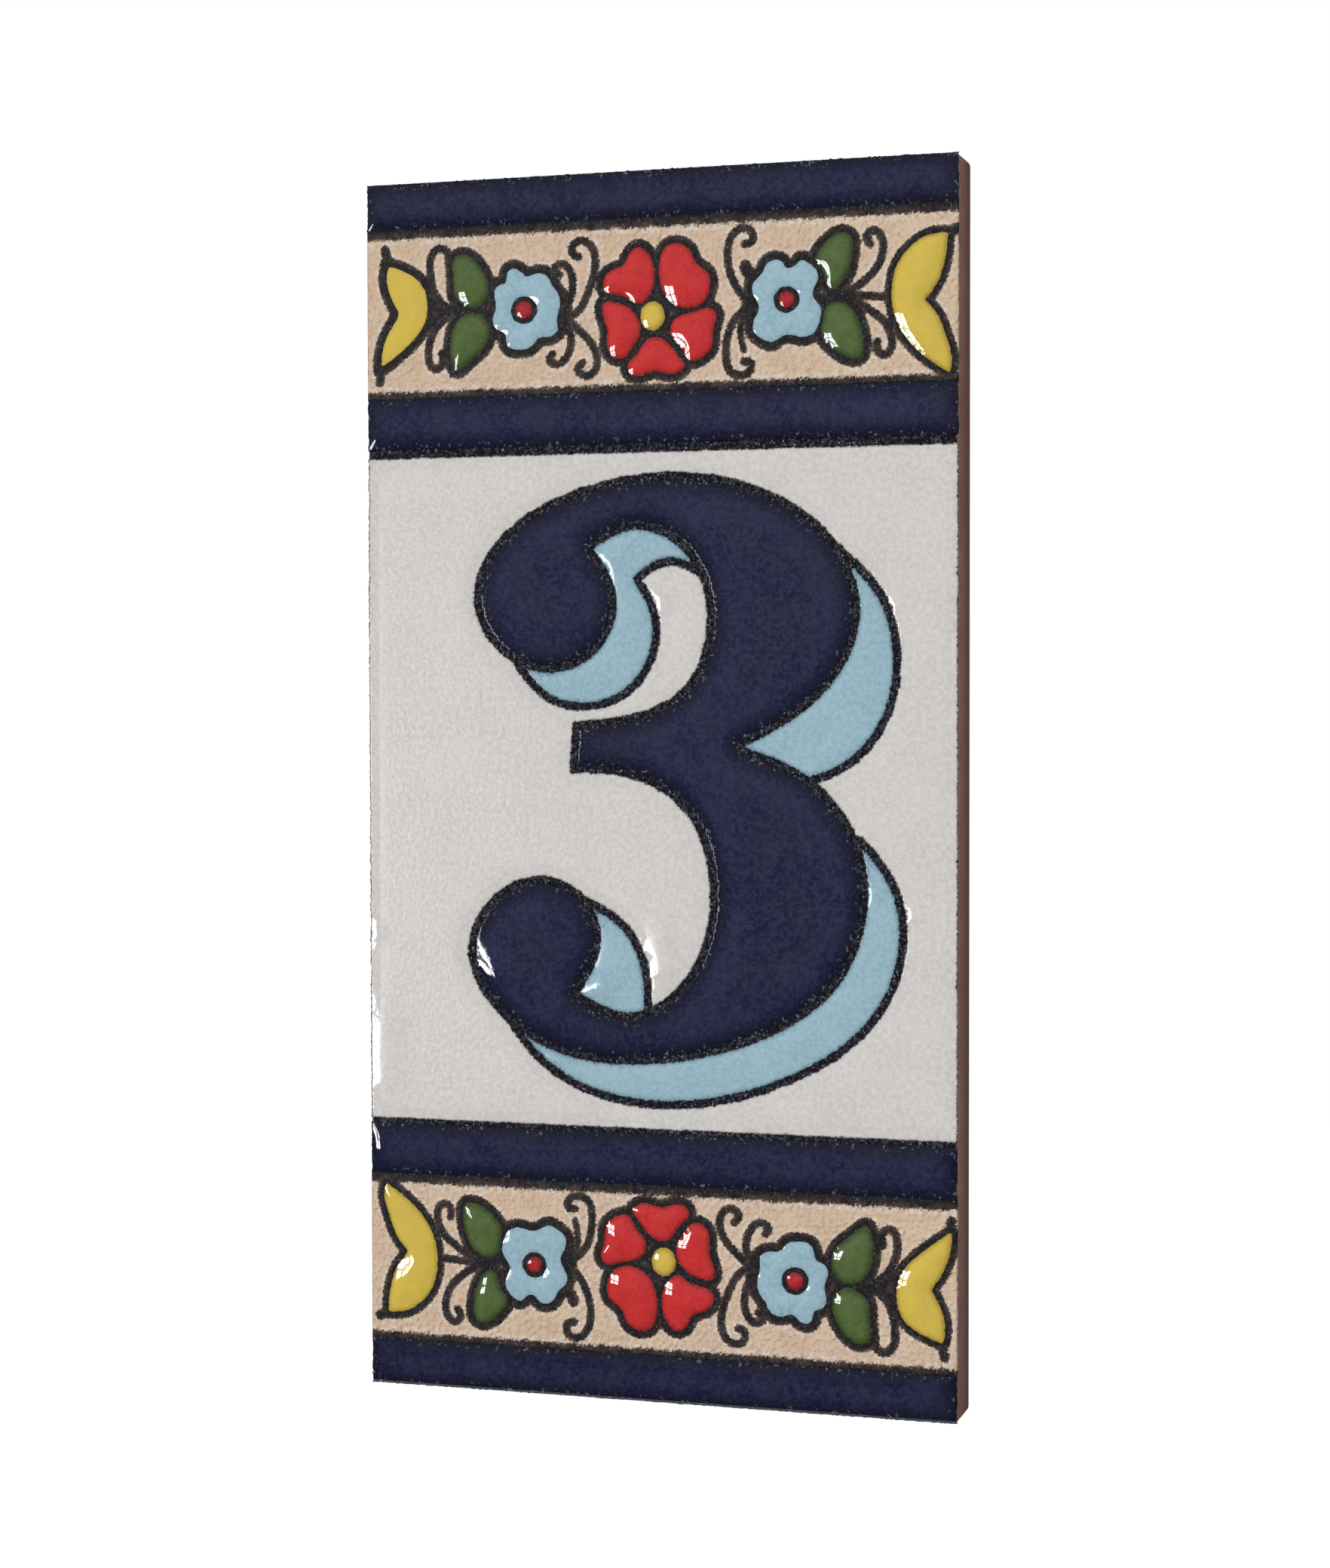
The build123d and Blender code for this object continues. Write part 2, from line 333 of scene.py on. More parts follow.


# poured glaze: body colour with soft clouds and a fine mottle, darker towards its edge, with specks there
# (pale painted glints on the navy), ink bled into the rim, and a pebbled skin that smooths out towards the
# rim
def glaze(name, look):
    material, base, place = newMaterial(name)
    reach = base.make("ShaderNodeAttribute", {"attribute_name": "reach"}, {}, out="Fac")
    clouds = base.noise(place, look["cloudSize"], 3.0)
    mottle = base.noise(place, look["mottleSize"], 3.0, 0.65)
    speckAndGlint = base.noise(place, look["speckAndGlintSize"], 1.0, 0.5)
    ragged = base.noise(place, dryLine["raggedSize"], 3.0, 0.7) - 0.5
    colour = base.mix(clouds.step(0.35, 0.65), look["colour"], look["cloud"])
    colour = base.mix(mottle.step(0.35, 0.65) * look["mottleShare"], colour, look["mottle"])
    # painted sheen: a paler band a little way in from the rim
    if "paintedSheen" in look:  # paler a little way in, where the glaze stands highest
        paintedSheen = reach.step(1.2, 2.2) * (1 - reach.step(2.6, 4.4)) * clouds.step(0.3, 0.6)
        colour = base.mix(paintedSheen * look["paintedSheenShare"], colour, look["paintedSheen"])
    # darker towards the pad's edge
    darkening = 1 - (reach + ragged * glazeRim["darkeningRagged"]).step(glazeRim["darkeningFrom"], look["edgeWidth"])
    colour = base.mix(darkening * look["edgeShare"], colour, look["edge"])
    byRim = (1 - reach.step(*glazeRim["speckAndGlintFade"])) * (1 - glazeRim["speckAndGlintLeft"]) + glazeRim["speckAndGlintLeft"]
    # specks, strongest near the rim; on the navy they are pale painted glints
    colour = base.mix(speckAndGlint.step(0.62, 0.72) * byRim * look["speckAndGlintShare"], colour, look["speckAndGlint"])
    bleed = 1 - (reach + ragged * glazeRim["bleedRagged"]).step(*glazeRim["bleed"])
    colour = base.mix(bleed, colour, inkGrain(base, place)[0])
    skinFrom = look["skinFrom"]
    eased = reach.step(skinFrom, skinFrom + glazeRim["skinEase"])
    skin = (base.noise(place, look["peelSize"], 2.0) - 0.5) * eased
    dull = look["dull"] * reach.step(skinFrom - 0.4, skinFrom + 0.1)
    rough = dull + bleed * glazeRim["bleedRough"] + look["gloss"]
    closeMaterial(base, {"Base Color": colour, "Roughness": rough, "IOR": glazeRim["index"],
                         "Normal": base.bump(skin, look["peel"])})
    return material


# the numeral, its shadow and the white panel

figure = {"cornerX": -24.0, "cornerZ": -38.6, "ragged": 0.07, "wander": 0.04, "wanderLength": 2.4}
# each field's box, mesh spacing, slope at the rim and width over which it eases to flat; swells are places
# where the glaze has run thicker and takes the window's light: x, z, radius, share added to its height
numeralPad = {"box": (-24, 27, -34, 39), "spacing": 0.22, "slope": 0.16, "width": 4.5,
              "swells": [(-21.2, -24.0, 3.2, 2.0)]}
shadowPad = {"box": (-20, 32, -39, 33), "spacing": 0.22, "slope": 0.2, "width": 2.2,
             "swells": [(-7.0, -24.0, 2.0, 2.6), (-13.0, -33.3, 1.4, 2.0), (26.5, -12.2, 1.3, 2.0),
                        (-5.8, 27.2, 1.4, 2.0)]}
panelPad = {"box": (-37.5, 37.5, -41.8, 41.4), "spacing": 0.3, "slope": 0.12, "width": 2.8,
            "swells": [(-37.0, -36.5, 3.0, 1.7), (-37.0, -30.5, 3.0, 1.7), (-37.0, -18.3, 1.2, 2.2),
                       (0.5, -18.3, 2.0, 1.45), (0.6, -20.6, 2.0, 1.45), (0.7, -22.8, 2.0, 1.9),
                       (31.7, -14.7, 1.4, 3.2), (29.5, 22.0, 1.5, 3.0), (0.5, 23.0, 1.4, 3.2)]}

# outlines in mm from the figure's lower left corner, as stretches that meet at corners
numeralArt = [
    [(13.5, 46.8), (21.1, 47.7), (27.4, 50.7), (30.65, 60.4), (26.7, 68.4), (21.3, 70.2), (16.1, 68)],
    [(16.1, 68), (19.1, 61.9), (17, 55.8), (10.7, 52.9), (3.8, 55.6), (0.65, 62.3), (4.1, 69.5),
     (12.3, 74.5), (25.5, 77), (38.9, 74.2), (47, 67.8), (49.5, 59.4), (45.2, 50.4), (35, 43.8)],
    [(35, 43.8), (42.8, 40.5), (49, 33.5), (50.5, 25.6), (46.6, 15), (36, 8), (22, 5.1), (6.9, 8.3),
     (-0.2, 18.9), (3.6, 25.7), (9.2, 27.8), (14.9, 25.4), (17, 20.8), (14.2, 13.5)],
    [(14.2, 13.5), (21, 11.3), (27.7, 15.5), (31, 26.4), (27.7, 36.1), (20, 40.2), (13.1, 40.6)],
    [(13.1, 40.6), (13.5, 46.8)],
]
shadowArt = [
    [[(5.5, 54.5), (10.7, 49.1), (14, 48.3), (20.7, 50.1), (24.5, 56.2), (23.8, 61.7), (22.3, 64.1)],
     [(22.3, 64.1), (25.6, 65.8), (30, 64.2)], [(30, 64.2), (33, 70)], [(33, 70), (22, 74)], [(22, 74),
      (10, 68)], [(10, 68), (5.5, 54.5)]],
    [[(47.1, 67.9), (52.5, 62), (54.5, 54.4), (52.8, 46.5), (46.5, 40.4), (44, 39.5)], [(44, 39.5),
      (41, 36)], [(41, 36), (32, 44)], [(32, 44), (39, 63)], [(39, 63), (47.1, 67.9)]],
    [[(49.8, 33.2), (54.1, 27.4), (55.2, 20), (51.4, 10.8), (41.7, 3.7), (30.3, 0.2), (18.9, 0.3),
      (9.4, 4.5), (4.6, 9.9)], [(4.6, 9.9), (9, 18)], [(9, 18), (24, 8.5)], [(24, 8.5), (39, 18)],
     [(39, 18), (46, 32)], [(46, 32), (49.8, 33.2)]],
    [[(15.1, 25.4), (20.1, 22.4), (22.9, 17.7), (23.4, 9.6)], [(23.4, 9.6), (11, 9.6)], [(11, 9.6),
      (8, 21.6)], [(8, 21.6), (15.1, 25.4)]],
]
corner = np.array([figure["cornerX"], figure["cornerZ"]])
numeralEdge = segmentsOf([outlineOf(numeralArt) + corner])
shadowEdges = [segmentsOf([outlineOf(part) + corner]) for part in shadowArt]


# inside the numeral's outline by more than the bare line, with a ragged edge
def numeralField(p):
    return signedTo(p, numeralEdge) - tile["line"] + figure["ragged"] * waves(p, tile["raggedLength"], 1)


def shadowOutline(p):
    return np.max([signedTo(p, edge) for edge in shadowEdges], axis=0)


# inside one of the shadow's parts by more than the bare line, and outside the numeral
def shadowField(p):
    inner = shadowOutline(p) - tile["line"]
    return np.minimum(inner, -signedTo(p, numeralEdge)) + figure["ragged"] * waves(p, tile["raggedLength"], 2)


# distance inside a strip right across the face between two heights
def strip(p, low, high):
    across = np.minimum(p[:, 0] + tile["glazeEdge"], tile["glazeEdge"] - p[:, 0])
    return np.minimum(across, np.minimum(p[:, 1] - low, high - p[:, 1]))


# the strip between the inner bands, outside the numeral and its shadow
def panelField(p):
    figureEdge = -np.maximum(signedTo(p, numeralEdge), shadowOutline(p))
    edge = np.minimum(strip(p, tile["panelLow"], tile["panelTop"]), figureEdge)
    edge = edge + figure["ragged"] * waves(p, tile["raggedLength"], 3)
    return edge + figure["wander"] * waves(p, figure["wanderLength"], 4)


navyLook = {"colour": rgb(0.0090, 0.0095, 0.037), "cloud": rgb(0.0135, 0.0155, 0.036), "cloudSize": 4.0,
            "mottle": rgb(0.040, 0.043, 0.094), "mottleSize": 0.5, "mottleShare": 0.55,
            # pale specks near the rim: painted glints
            "speckAndGlint": rgb(0.14, 0.14, 0.18), "speckAndGlintSize": 0.42, "speckAndGlintShare": 0.85,
            "edge": rgb(0.0055, 0.006, 0.019), "edgeWidth": 2.2, "edgeShare": 0.9,
            # painted sheen colour and its share
            "paintedSheen": rgb(0.028, 0.027, 0.078), "paintedSheenShare": 0.3,
            "gloss": 0.06, "dull": 0.0, "peel": 0.02, "peelSize": 0.7, "skinFrom": 0.3}
skyLook = {"colour": rgb(0.255, 0.40, 0.475), "cloud": rgb(0.285, 0.43, 0.51), "cloudSize": 3.0,
           "mottle": rgb(0.39, 0.55, 0.63), "mottleSize": 0.6, "mottleShare": 0.55,
           "speckAndGlint": rgb(0.14, 0.22, 0.28), "speckAndGlintSize": 0.45, "speckAndGlintShare": 0.6,
           "edge": rgb(0.13, 0.23, 0.29), "edgeWidth": 0.6, "edgeShare": 0.65,
           "gloss": 0.06, "dull": 0.1, "peel": 0.07, "peelSize": 0.55, "skinFrom": 0.3}
whiteLook = {"colour": rgb(0.555, 0.53, 0.51), "cloud": rgb(0.58, 0.555, 0.535), "cloudSize": 6.0,
             "mottle": rgb(0.72, 0.695, 0.675), "mottleSize": 0.6, "mottleShare": 0.55,
             "speckAndGlint": rgb(0.42, 0.395, 0.38), "speckAndGlintSize": 0.45, "speckAndGlintShare": 0.5,
             "edge": rgb(0.45, 0.425, 0.405), "edgeWidth": 0.4, "edgeShare": 0.5,
             "gloss": 0.06, "dull": 0.3, "peel": 0.065, "peelSize": 0.5, "skinFrom": 1.5}
navy = glaze("navyGlaze", navyLook)
sky = glaze("skyGlaze", skyLook)
white = glaze("whiteGlaze", whiteLook)

pieceFrom("numeral", [padMesh(numeralField, **numeralPad)], navy)
pieceFrom("numeralShadow", [padMesh(shadowField, **shadowPad)], sky)
pieceFrom("whitePanel", [padMesh(panelField, **panelPad)], white)

# navy bands

band = {"slope": 0.3, "width": 2.6, "spacing": 0.3, "ragged": 0.08, "boxEdge": 37.5, "boxMargin": 0.1,
        "rows": [(69.15, 74.9), (42.0, 48.4), (-48.4, -42.0), (-74.9, -69.15)],
        "swells": [(-37.0, z, 2.0, 0.8) for z in (70.7, 43.3, -45.5, -72.8)]}


# a strip across the face between two heights, with a ragged edge
def bandPad(low, high, seed):
    box = (-band["boxEdge"], band["boxEdge"], low - band["boxMargin"], high + band["boxMargin"])

    def region(p):
        return strip(p, low, high) + band["ragged"] * waves(p, tile["raggedLength"], seed)

    return padMesh(region, box, band["spacing"], band["slope"], band["width"], band["swells"])


pieceFrom("navyBands", [bandPad(low, high, 10 + k) for k, (low, high) in enumerate(band["rows"])], navy)

# flowers and leaves of the borders

# slope at the rim, width over which it eases to flat, and how far the drawn edge is grown; the tulips' slopes
# are eased one by one, left and right as drawn
flower = {"petal": (0.5, 6.0, 0.2), "leaf": (0.58, 4.0, 0.14), "tulip": (0.52, 5.0, 0.35),
          "daisy": (0.38, 2.6, 0.3), "eye": (0.62, 1.5, 0.15), "heart": (0.6, 3.0, 0.1),
          "ragged": 0.06, "spacing": 0.17, "upperTulips": (0.45, 1.0), "lowerTulips": (1.0, 0.8)}
# outlines in mm from the middle of the upper border
petalArt = [
    [(-1.9, 6.9), (-0.4, 5.7), (0.1, 2.9), (-0.4, 1.2), (-1.9, 0.0), (-3.6, 0.9), (-6.3, 1.9),
     (-6.4, 3.2), (-5.2, 4.3), (-3.8, 4.9), (-3.1, 6.2)],
    [(0.8, 5.4), (1.7, 6.9), (3.2, 7.1), (4.6, 6.2), (5.4, 4.6), (6.8, 3.5), (7.1, 1.5), (6.0, -0.3),
     (3.3, -0.6), (1.7, 0.5), (0.8, 2.5)],
    [(2.2, -2.6), (3.6, -1.5), (5.4, -1.1), (7.1, -0.8), (7.9, -1.5), (7.5, -3.4), (7.3, -5.5),
     (6.1, -6.7), (4.7, -7.1), (3.3, -5.3), (2.1, -3.7)],
    [(-0.1, -4.0), (1.5, -4.5), (3.2, -6.5), (3.9, -7.7), (3.1, -8.4), (1.5, -8.5), (0.0, -8.2),
     (-1.4, -8.6), (-3.0, -8.4), (-3.4, -7.5), (-2.2, -6.0), (-1.2, -4.6)],
    [(-6.5, 0.2), (-4.7, 0.3), (-3.1, -0.4), (-1.9, -1.9), (-1.7, -3.3), (-2.7, -5.2), (-4.0, -6.5),
     (-5.5, -6.0), (-6.0, -4.7), (-6.0, -2.9), (-6.6, -0.8)],
]
daisyArt = [
    [(-18.8, 4.6), (-18.1, 5.0), (-17.1, 4.6), (-16.5, 4.0), (-15.0, 4.3), (-13.6, 3.8), (-13.1, 2.9),
     (-12.2, 1.6), (-12.0, 0.2), (-12.4, -1.7), (-12.3, -2.7), (-13.5, -3.5), (-14.9, -3.6),
     (-15.6, -4.5), (-17.2, -4.9), (-18.4, -4.7), (-19.0, -4.0), (-19.1, -3.0), (-20.5, -2.1),
     (-20.7, -0.9), (-20.3, 0.4), (-20.6, 2.0), (-20.1, 3.0), (-19.0, 3.4)],
    [(14.8, 4.5), (16.0, 4.3), (16.7, 3.5), (17.6, 3.7), (18.4, 4.4), (19.6, 3.8), (20.4, 2.7),
     (20.2, 1.4), (19.8, 0.1), (20.6, -1.0), (20.7, -2.8), (19.8, -4.4), (18.4, -4.7), (17.1, -4.4),
     (15.9, -4.6), (14.8, -5.2), (13.5, -4.7), (12.5, -3.7), (12.6, -2.5), (13.2, -1.0), (12.4, 0.8),
     (12.6, 2.1), (13.4, 2.8), (14.0, 3.9)],
]
eyeArt = [(-16.7, -0.1, 1.1, 1.7), (16.6, -0.2, 1.0, 1.6)]  # middle, bead radius, radius of the dark ring
tulipArt = [
    [[(-34.7, 6.2), (-33.0, 5.6), (-31.1, 4.6), (-29.8, 3.2), (-29.3, 1.2), (-29.5, -0.8), (-30.7, -2.8),
      (-32.7, -4.6), (-35.7, -6.8)], [(-35.7, -6.8), (-35.6, -5.0), (-34.9, -2.7), (-33.2, 0.0)],
     [(-33.2, 0.0), (-34.3, 2.0), (-34.9, 4.0), (-34.7, 6.2)]],
    [[(36.0, 6.7), (33.9, 6.5), (31.7, 5.2), (30.2, 3.3), (29.6, 1.0), (29.6, -1.2), (30.4, -3.8),
      (32.3, -6.4), (36.3, -9.4)], [(36.3, -9.4), (36.5, -8.1), (35.9, -5.6), (34.9, -3.0), (33.2, -0.9)],
     [(33.2, -0.9), (34.6, 0.8), (35.5, 2.9), (35.9, 5.1), (36.0, 6.7)]],
]
leafArt = [
    [(-25.7, 6.8), (-24.6, 7.1), (-23.3, 6.5), (-22.1, 5.1), (-21.3, 3.2), (-21.7, 1.2), (-23.0, 0.3),
     (-24.7, 0.8), (-25.8, 1.9), (-26.0, 4.0)],
    [(-25.5, -1.1), (-24.2, -0.2), (-22.7, -0.2), (-21.5, -1.2), (-21.1, -2.8), (-22.0, -4.7),
     (-23.9, -6.3), (-25.6, -7.3), (-26.3, -5.8), (-26.4, -3.6)],
    [(23.5, 7.5), (24.4, 7.1), (24.7, 5.0), (24.3, 3.0), (23.3, 1.3), (22.3, 0.7), (21.5, 1.4),
     (21.0, 3.0), (20.1, 4.4), (20.8, 5.8), (22.2, 7.1)],
    [(21.3, -1.4), (22.3, -0.7), (24.2, -1.2), (25.7, -3.6), (26.1, -5.8), (25.7, -7.4), (24.6, -7.6),
     (23.2, -7.0), (21.7, -5.8), (20.8, -4.3), (21.0, -2.8)],
]
heartArt = (-0.15, -1.5, 1.65, 1.85)  # middle, half width, half height

turn = np.linspace(0, 2 * np.pi, 49)[:-1]


# ellipse about a middle: half width times the cosine, half height times the sine
def ring(x, z, rx, rz):
    return np.column_stack([x + rx * np.cos(turn), z + rz * np.sin(turn)])


# upper border as drawn; the lower one is turned end for end and slipped
def onUpper(p):
    return p + [0, tile["borderMiddle"]]


def onLower(p):
    return -p + [tile["slipRight"], tile["slipUp"] - tile["borderMiddle"]]


places = (onUpper, onLower)
petals = [curveThrough(p, closed=True) for p in petalArt]
daisies = [curveThrough(p, closed=True) for p in daisyArt]
tulips = [outlineOf(p) for p in tulipArt]
leaves = [curveThrough(p, closed=True) for p in leafArt]
hearts = [ring(*heartArt)]
eyes = [ring(x, z, r, r) for x, z, r, far in eyeArt]
rings = [ring(x, z, far, far) for x, z, r, far in eyeArt]


# inside a drawn loop, grown and with a ragged edge, less a hole
def loopPad(loop, kind, seed, hole=None, ease=1.0):
    slope, width, grow = flower[kind]
    edge = segmentsOf([loop] if hole is None else [loop, hole])
    lo, hi = loop.min(0) - grow, loop.max(0) + grow

    def region(p):
        return signedTo(p, edge) + grow + flower["ragged"] * waves(p, tile["raggedLength"], seed)

    return padMesh(region, (lo[0], hi[0], lo[1], hi[1]), flower["spacing"], slope * ease, width)


# the same loops on both borders
def bothBorders(loops, kind, seed):
    return [loopPad(put(l), kind, seed + k) for put in places for k, l in enumerate(loops)]


redLook = {"colour": rgb(0.56, 0.030, 0.034), "cloud": rgb(0.49, 0.025, 0.031), "cloudSize": 1.8,
           "mottle": rgb(0.60, 0.055, 0.045), "mottleSize": 0.4, "mottleShare": 0.45,
           "speckAndGlint": rgb(0.68, 0.17, 0.09), "speckAndGlintSize": 0.3, "speckAndGlintShare": 0.4,
           "edge": rgb(0.17, 0.009, 0.012), "edgeWidth": 0.8, "edgeShare": 0.8,
           "gloss": 0.05, "dull": 0.0, "peel": 0.006, "peelSize": 0.6, "skinFrom": 0.2}
greenLook = {"colour": rgb(0.085, 0.135, 0.043), "cloud": rgb(0.066, 0.107, 0.032), "cloudSize": 1.4,
             "mottle": rgb(0.12, 0.165, 0.065), "mottleSize": 0.4, "mottleShare": 0.4,
             "speckAndGlint": rgb(0.20, 0.24, 0.11), "speckAndGlintSize": 0.3, "speckAndGlintShare": 0.35,
             "edge": rgb(0.018, 0.036, 0.010), "edgeWidth": 1.0, "edgeShare": 0.8,
             "gloss": 0.05, "dull": 0.0, "peel": 0.006, "peelSize": 0.6, "skinFrom": 0.2}
yellowLook = {"colour": rgb(0.63, 0.46, 0.068), "cloud": rgb(0.58, 0.425, 0.072), "cloudSize": 1.8,
              "mottle": rgb(0.66, 0.50, 0.11), "mottleSize": 0.45, "mottleShare": 0.4,
              "speckAndGlint": rgb(0.42, 0.28, 0.05), "speckAndGlintSize": 0.3, "speckAndGlintShare": 0.4,
              "edge": rgb(0.27, 0.175, 0.025), "edgeWidth": 0.8, "edgeShare": 0.8,
              "gloss": 0.05, "dull": 0.0, "peel": 0.006, "peelSize": 0.6, "skinFrom": 0.2}
eyeLook = redLook | {"colour": rgb(0.40, 0.026, 0.036), "cloud": rgb(0.33, 0.02, 0.028), "gloss": 0.07}
daisyLook = skyLook | {"dull": 0.0, "peel": 0.02}
yellow = glaze("yellowGlaze", yellowLook)

pieceFrom("redPetals", bothBorders(petals, "petal", 20), glaze("redGlaze", redLook))
pieceFrom("redEyes", bothBorders(eyes, "eye", 30), glaze("eyeGlaze", eyeLook))
pieceFrom("yellowHearts", bothBorders(hearts, "heart", 35), yellow)
eases = {onUpper: flower["upperTulips"], onLower: flower["lowerTulips"]}
pieceFrom("yellowTulips", [loopPad(put(l), "tulip", 40 + k, ease=eases[put][k])
                           for put in places for k, l in enumerate(tulips)], yellow)
pieceFrom("greenLeaves", bothBorders(leaves, "leaf", 50), glaze("greenGlaze", greenLook))
pieceFrom("skyDaisies", [loopPad(put(l), "daisy", 60 + k, put(hole)) for put in places
                         for k, (l, hole) in enumerate(zip(daisies, rings))], glaze("daisyGlaze", daisyLook))

# border ground with its drawn lines

ground = {"level": 0.06, "inkRise": 0.06, "inkBlur": 0.3, "sunk": 0.1, "grain": 0.012, "grainLength": 0.7,
          "spacing": 0.25, "edge": 37.45, "low": 48.2, "high": 69.4,
          "bandShare": 0.6, "stray": 0.1, "strayLength": 1.5, "fray": 0.06, "ragged": 0.07, "frayLength": 0.5}
outlineWidth = {"petal": 0.95, "leaf": 0.9, "tulip": 1.0, "daisy": 1.1}  # ink drawn round each kind of pad
# drawn strokes: half the width of the line, then the points it goes through
scrollArt = [
    (0.5, [(-11.4, -1.4), (-10.0, -0.8), (-8.6, 1.2), (-7.7, 3.6), (-7.45, 5.7), (-7.9, 7.2), (-9.1, 8.0),
           (-10.3, 7.5), (-10.4, 6.5), (-9.6, 6.1)]),
    (0.5, [(-11.3, -0.4), (-10.5, 1.6), (-10.4, 3.4), (-10.9, 4.7), (-11.8, 5.3), (-12.7, 4.8),
           (-12.1, 4.0)]),
    (0.5, [(-11.4, -1.2), (-9.8, -2.6), (-8.4, -4.0), (-7.5, -5.4), (-7.25, -6.9), (-7.8, -8.1),
           (-8.8, -8.4), (-9.7, -7.6), (-9.1, -6.8)]),
    (0.5, [(-11.4, -2.0), (-10.6, -3.6), (-10.7, -5.0), (-11.3, -6.2), (-12.4, -6.9), (-13.4, -6.3),
           (-13.0, -5.6)]),
    (0.8, [(-11.6, 1.4), (-11.2, -0.6), (-11.5, -2.6)]),
    (0.52, [(-25.2, -0.1), (-27.2, 0.9), (-28.6, 2.9), (-29.0, 5.2), (-28.8, 7.0), (-27.8, 7.9),
            (-26.8, 7.5), (-26.6, 6.2)]),
    (0.52, [(-25.2, 0.3), (-27.2, -0.9), (-28.6, -2.4), (-29.2, -4.2), (-29.2, -5.8), (-28.5, -6.9),
            (-27.5, -6.5), (-27.5, -5.0)]),
    (0.75, [(-29.1, 1.9), (-27.6, 0.5), (-25.2, -0.1)]),
    (0.75, [(-29.0, -1.6), (-27.6, -0.4), (-25.2, 0.8)]),
    (0.6, [(-34.6, 6.2), (-34.8, 7.1), (-35.0, 8.0)]),
    (0.6, [(-35.5, -6.6), (-35.7, -7.5), (-35.8, -8.3)]),
    (0.5, [(12.0, -0.4), (10.6, 1.2), (9.7, 3.0), (9.3, 4.8), (9.4, 6.6), (10.1, 8.0), (11.2, 8.55),
           (12.3, 8.0), (12.3, 6.9), (11.4, 6.6)]),
    (0.5, [(12.0, -0.8), (9.9, -2.7), (9.2, -4.8), (9.1, -7.0), (9.7, -8.6), (10.8, -9.0), (12.0, -8.6),
           (12.2, -7.6), (11.3, -7.4)]),
    (0.75, [(11.5, 4.0), (11.7, 3.5), (12.0, 3.0)]),
    (0.42, [(11.4, -1.4), (10.9, -3.6), (11.3, -6.0)]),
    (0.8, [(12.2, 1.0), (11.8, -0.6), (12.0, -2.4)]),
    (0.5, [(23.4, 0.4), (25.0, 0.9), (26.5, 1.9), (27.9, 3.6), (28.4, 5.6), (27.9, 7.1), (27.0, 7.5),
           (26.4, 6.8), (26.8, 5.9)]),
    (0.5, [(23.0, 0.2), (26.5, -0.2), (29.2, -0.4)]),
    (0.5, [(23.6, -0.1), (25.5, -1.0), (27.1, -2.1), (28.6, -3.4), (29.4, -5.2), (29.3, -6.6),
           (28.5, -7.2), (27.7, -6.7), (27.7, -5.6)]),
    (0.8, [(21.8, 0.1), (23.2, 0.1), (24.6, 0.0)]),
    (0.65, [(36.1, 6.6), (36.7, 7.0), (37.2, 7.3)]),
]


# ink(p): distance inside the drawn lines, positive in the ink: around each pad, along the scrolls, and beside
# the bands, where it strays in and out
def inkField(put, upper):
    groups = [(outlineWidth["petal"], petals + hearts), (outlineWidth["leaf"], leaves),
              (outlineWidth["tulip"], tulips), (outlineWidth["daisy"], daisies)]
    edges = [(width, segmentsOf([put(l) for l in loops])) for width, loops in groups]
    strokes = []
    for half, points in scrollArt:
        line = put(curveThrough(points))
        strokes.append((half, np.hstack([line[:-1], line[1:]])))

    def field(p):
        drawn = [width + signedTo(p, edge) for width, edge in edges]
        drawn += [half - distanceTo(p, line)[0] for half, line in strokes]
        z = p[:, 1] if upper else -p[:, 1]
        low, high = tile["upperInk"] if upper else tile["lowerInk"]
        stray = ground["stray"] * waves(p, ground["strayLength"], 73)
        stray += ground["fray"] * waves(p, ground["frayLength"], 74)
        drawn += [ground["bandShare"] * (z - high + stray), ground["bandShare"] * (low - z + stray)]
        return np.max(drawn, axis=0) + ground["ragged"] * waves(p, ground["frayLength"], 71)

    return field


# four corners of each cell of a grid of numbers
def cellsOf(number):
    return np.column_stack([number[:-1, :-1].ravel(), number[1:, :-1].ravel(), number[1:, 1:].ravel(),
                            number[:-1, 1:].ravel()])


# a flat sheet closed all round: the grid rises by its level, the ink's share and a fine grain, and its rim is
# drawn down to the clay
def groundMesh(put, upper):
    h = ground["spacing"] * coarse
    side = 1 if upper else -1
    z0, z1 = sorted([side * ground["low"], side * ground["high"]])
    x = np.linspace(-ground["edge"], ground["edge"], int(2 * ground["edge"] / h) + 1)
    z = np.linspace(z0, z1, int((z1 - z0) / h) + 1)
    gx, gz = np.meshgrid(x, z, indexing="ij")
    p = np.column_stack([gx.ravel(), gz.ravel()])
    ink = inkField(put, upper)(p)
    soft = np.clip(0.5 + ink / ground["inkBlur"], 0, 1)
    grain = ground["grain"] * waves(p, ground["grainLength"], 72) * (1 - 0.5 * soft)
    rise = ground["level"] + ground["inkRise"] * soft + grain
    number = np.arange(gx.size).reshape(gx.shape)
    rim = np.ones(gx.shape, bool)
    rim[1:-1, 1:-1] = False
    rise = np.where(rim.ravel(), 0.0, rise)
    quads = cellsOf(number)
    free = ~rim.ravel()
    under = np.where(free, gx.size + np.cumsum(free) - 1, np.arange(gx.size))
    bottom = np.full(free.sum(), ground["sunk"] - tile["clay"])
    corners = np.vstack([np.column_stack([p[:, 0], -(tile["clay"] + rise), p[:, 1]]),
                         np.column_stack([p[free, 0], bottom, p[free, 1]])])
    return corners, np.vstack([quads, under[quads][:, ::-1]]), np.concatenate([ink, ink[free]])


